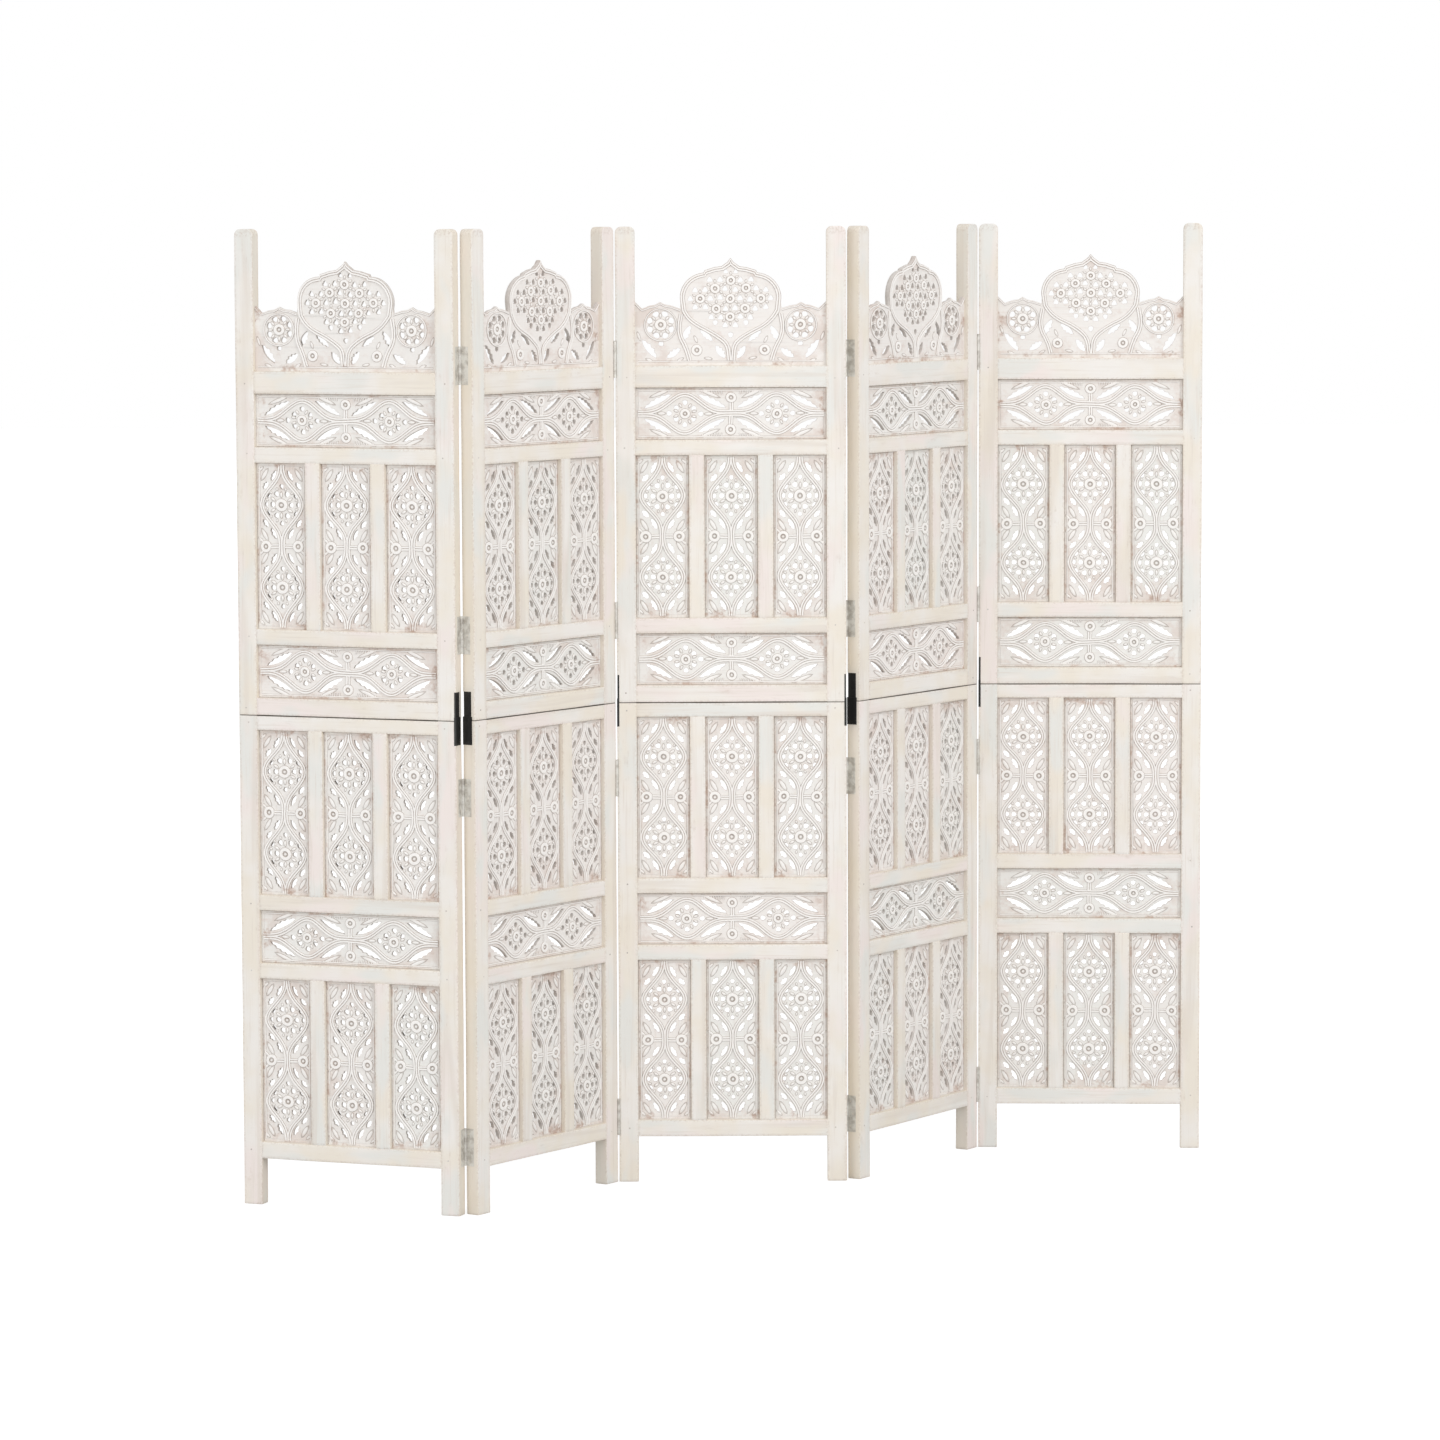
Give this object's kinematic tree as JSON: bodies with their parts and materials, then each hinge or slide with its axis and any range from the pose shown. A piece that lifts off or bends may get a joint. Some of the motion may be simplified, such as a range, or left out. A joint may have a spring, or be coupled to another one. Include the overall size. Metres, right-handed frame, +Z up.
{
  "type": "folding jali screen",
  "caption": "Free-standing folding screen of pierced, carved wooden panels in framed halves, hinged in a zigzag, with an ogee crest on each panel.",
  "frame": {"origin": "on the floor, under the middle of the box round the standing zigzag", "axes": "+Z up, +X along the middle panel to its right as seen from the front, +Y to the back"},
  "size_m": [1.6712, 0.6948, 1.65],
  "materials": {
    "whitewashed_frame": "mango wood under worn whitewash, matt",
    "carved_jali": "carved mango wood under rubbed whitewash, matt",
    "hinge_steel": "zinc-plated steel, dull",
    "black_iron": "black painted iron, satin"
  },
  "bodies": {
    "lower_1": {"panel_1_lower_posts": "whitewashed_frame", "panel_1_lower_rails": "whitewashed_frame", "panel_1_lower_jali": "carved_jali", "panel_1_lower_hinge_leaves": "hinge_steel", "panel_1_lower_sockets": "black_iron"},
    "upper_1": {"panel_1_upper_posts": "whitewashed_frame", "panel_1_upper_rails": "whitewashed_frame", "panel_1_upper_jali": "carved_jali", "panel_1_crest": "carved_jali", "panel_1_upper_hinge_leaves": "hinge_steel", "panel_1_upper_tongues": "black_iron"},
    "lower_2": {"panel_2_lower_posts": "whitewashed_frame", "panel_2_lower_rails": "whitewashed_frame", "panel_2_lower_jali": "carved_jali", "panel_2_lower_hinge_leaves": "hinge_steel", "panel_2_lower_sockets": "black_iron"},
    "upper_2": {"panel_2_upper_posts": "whitewashed_frame", "panel_2_upper_rails": "whitewashed_frame", "panel_2_upper_jali": "carved_jali", "panel_2_crest": "carved_jali", "panel_2_upper_hinge_leaves": "hinge_steel", "panel_2_upper_tongues": "black_iron"},
    "lower_3": {"panel_3_lower_posts": "whitewashed_frame", "panel_3_lower_rails": "whitewashed_frame", "panel_3_lower_jali": "carved_jali", "panel_3_lower_hinge_leaves": "hinge_steel", "panel_3_lower_sockets": "black_iron"},
    "upper_3": {"panel_3_upper_posts": "whitewashed_frame", "panel_3_upper_rails": "whitewashed_frame", "panel_3_upper_jali": "carved_jali", "panel_3_crest": "carved_jali", "panel_3_upper_hinge_leaves": "hinge_steel", "panel_3_upper_tongues": "black_iron"},
    "lower_4": {"panel_4_lower_posts": "whitewashed_frame", "panel_4_lower_rails": "whitewashed_frame", "panel_4_lower_jali": "carved_jali", "panel_4_lower_hinge_leaves": "hinge_steel", "panel_4_lower_sockets": "black_iron"},
    "upper_4": {"panel_4_upper_posts": "whitewashed_frame", "panel_4_upper_rails": "whitewashed_frame", "panel_4_upper_jali": "carved_jali", "panel_4_crest": "carved_jali", "panel_4_upper_hinge_leaves": "hinge_steel", "panel_4_upper_tongues": "black_iron"},
    "lower_5": {"panel_5_lower_posts": "whitewashed_frame", "panel_5_lower_rails": "whitewashed_frame", "panel_5_lower_jali": "carved_jali", "panel_5_lower_hinge_leaves": "hinge_steel", "panel_5_lower_sockets": "black_iron"},
    "upper_5": {"panel_5_upper_posts": "whitewashed_frame", "panel_5_upper_rails": "whitewashed_frame", "panel_5_upper_jali": "carved_jali", "panel_5_crest": "carved_jali", "panel_5_upper_hinge_leaves": "hinge_steel", "panel_5_upper_tongues": "black_iron"}
  },
  "joints": [
    {"name": "fold_2", "type": "hinge", "parent": "lower_3", "child": "lower_2", "pos_m": [-0.20062, -0.01848, 0.417], "axis": [0, 0, 1], "range_deg": [-54, 126]},
    {"name": "fold_1", "type": "hinge", "parent": "lower_2", "child": "lower_1", "pos_m": [-0.45502, -0.32337, 0.417], "axis": [0, 0, -1], "range_deg": [-74, 106]},
    {"name": "fold_3", "type": "hinge", "parent": "lower_3", "child": "lower_4", "pos_m": [0.19558, 0.00812, 0.417], "axis": [0, 0, 1], "range_deg": [-56, 124]},
    {"name": "fold_4", "type": "hinge", "parent": "lower_4", "child": "lower_5", "pos_m": [0.43918, 0.32171, 0.417], "axis": [0, 0, -1], "range_deg": [-59, 121]},
    {"name": "lift", "type": "slide", "parent": "lower_3", "child": "upper_3", "axis": [0, 0, 1], "range_m": [0, 0.06]},
    {"name": "lift_1", "type": "slide", "parent": "lower_1", "child": "upper_1", "axis": [0, 0, 1], "range_m": [0, 0.06]},
    {"name": "lift_2", "type": "slide", "parent": "lower_2", "child": "upper_2", "axis": [0, 0, 1], "range_m": [0, 0.06]},
    {"name": "lift_4", "type": "slide", "parent": "lower_4", "child": "upper_4", "axis": [0, 0, 1], "range_m": [0, 0.06]},
    {"name": "lift_5", "type": "slide", "parent": "lower_5", "child": "upper_5", "axis": [0, 0, 1], "range_m": [0, 0.06]}
  ],
  "couplings": [
    {"joint": "lift_1", "follows": "lift", "ratio": 1},
    {"joint": "lift_2", "follows": "lift", "ratio": 1},
    {"joint": "lift_4", "follows": "lift", "ratio": 1},
    {"joint": "lift_5", "follows": "lift", "ratio": 1}
  ]
}
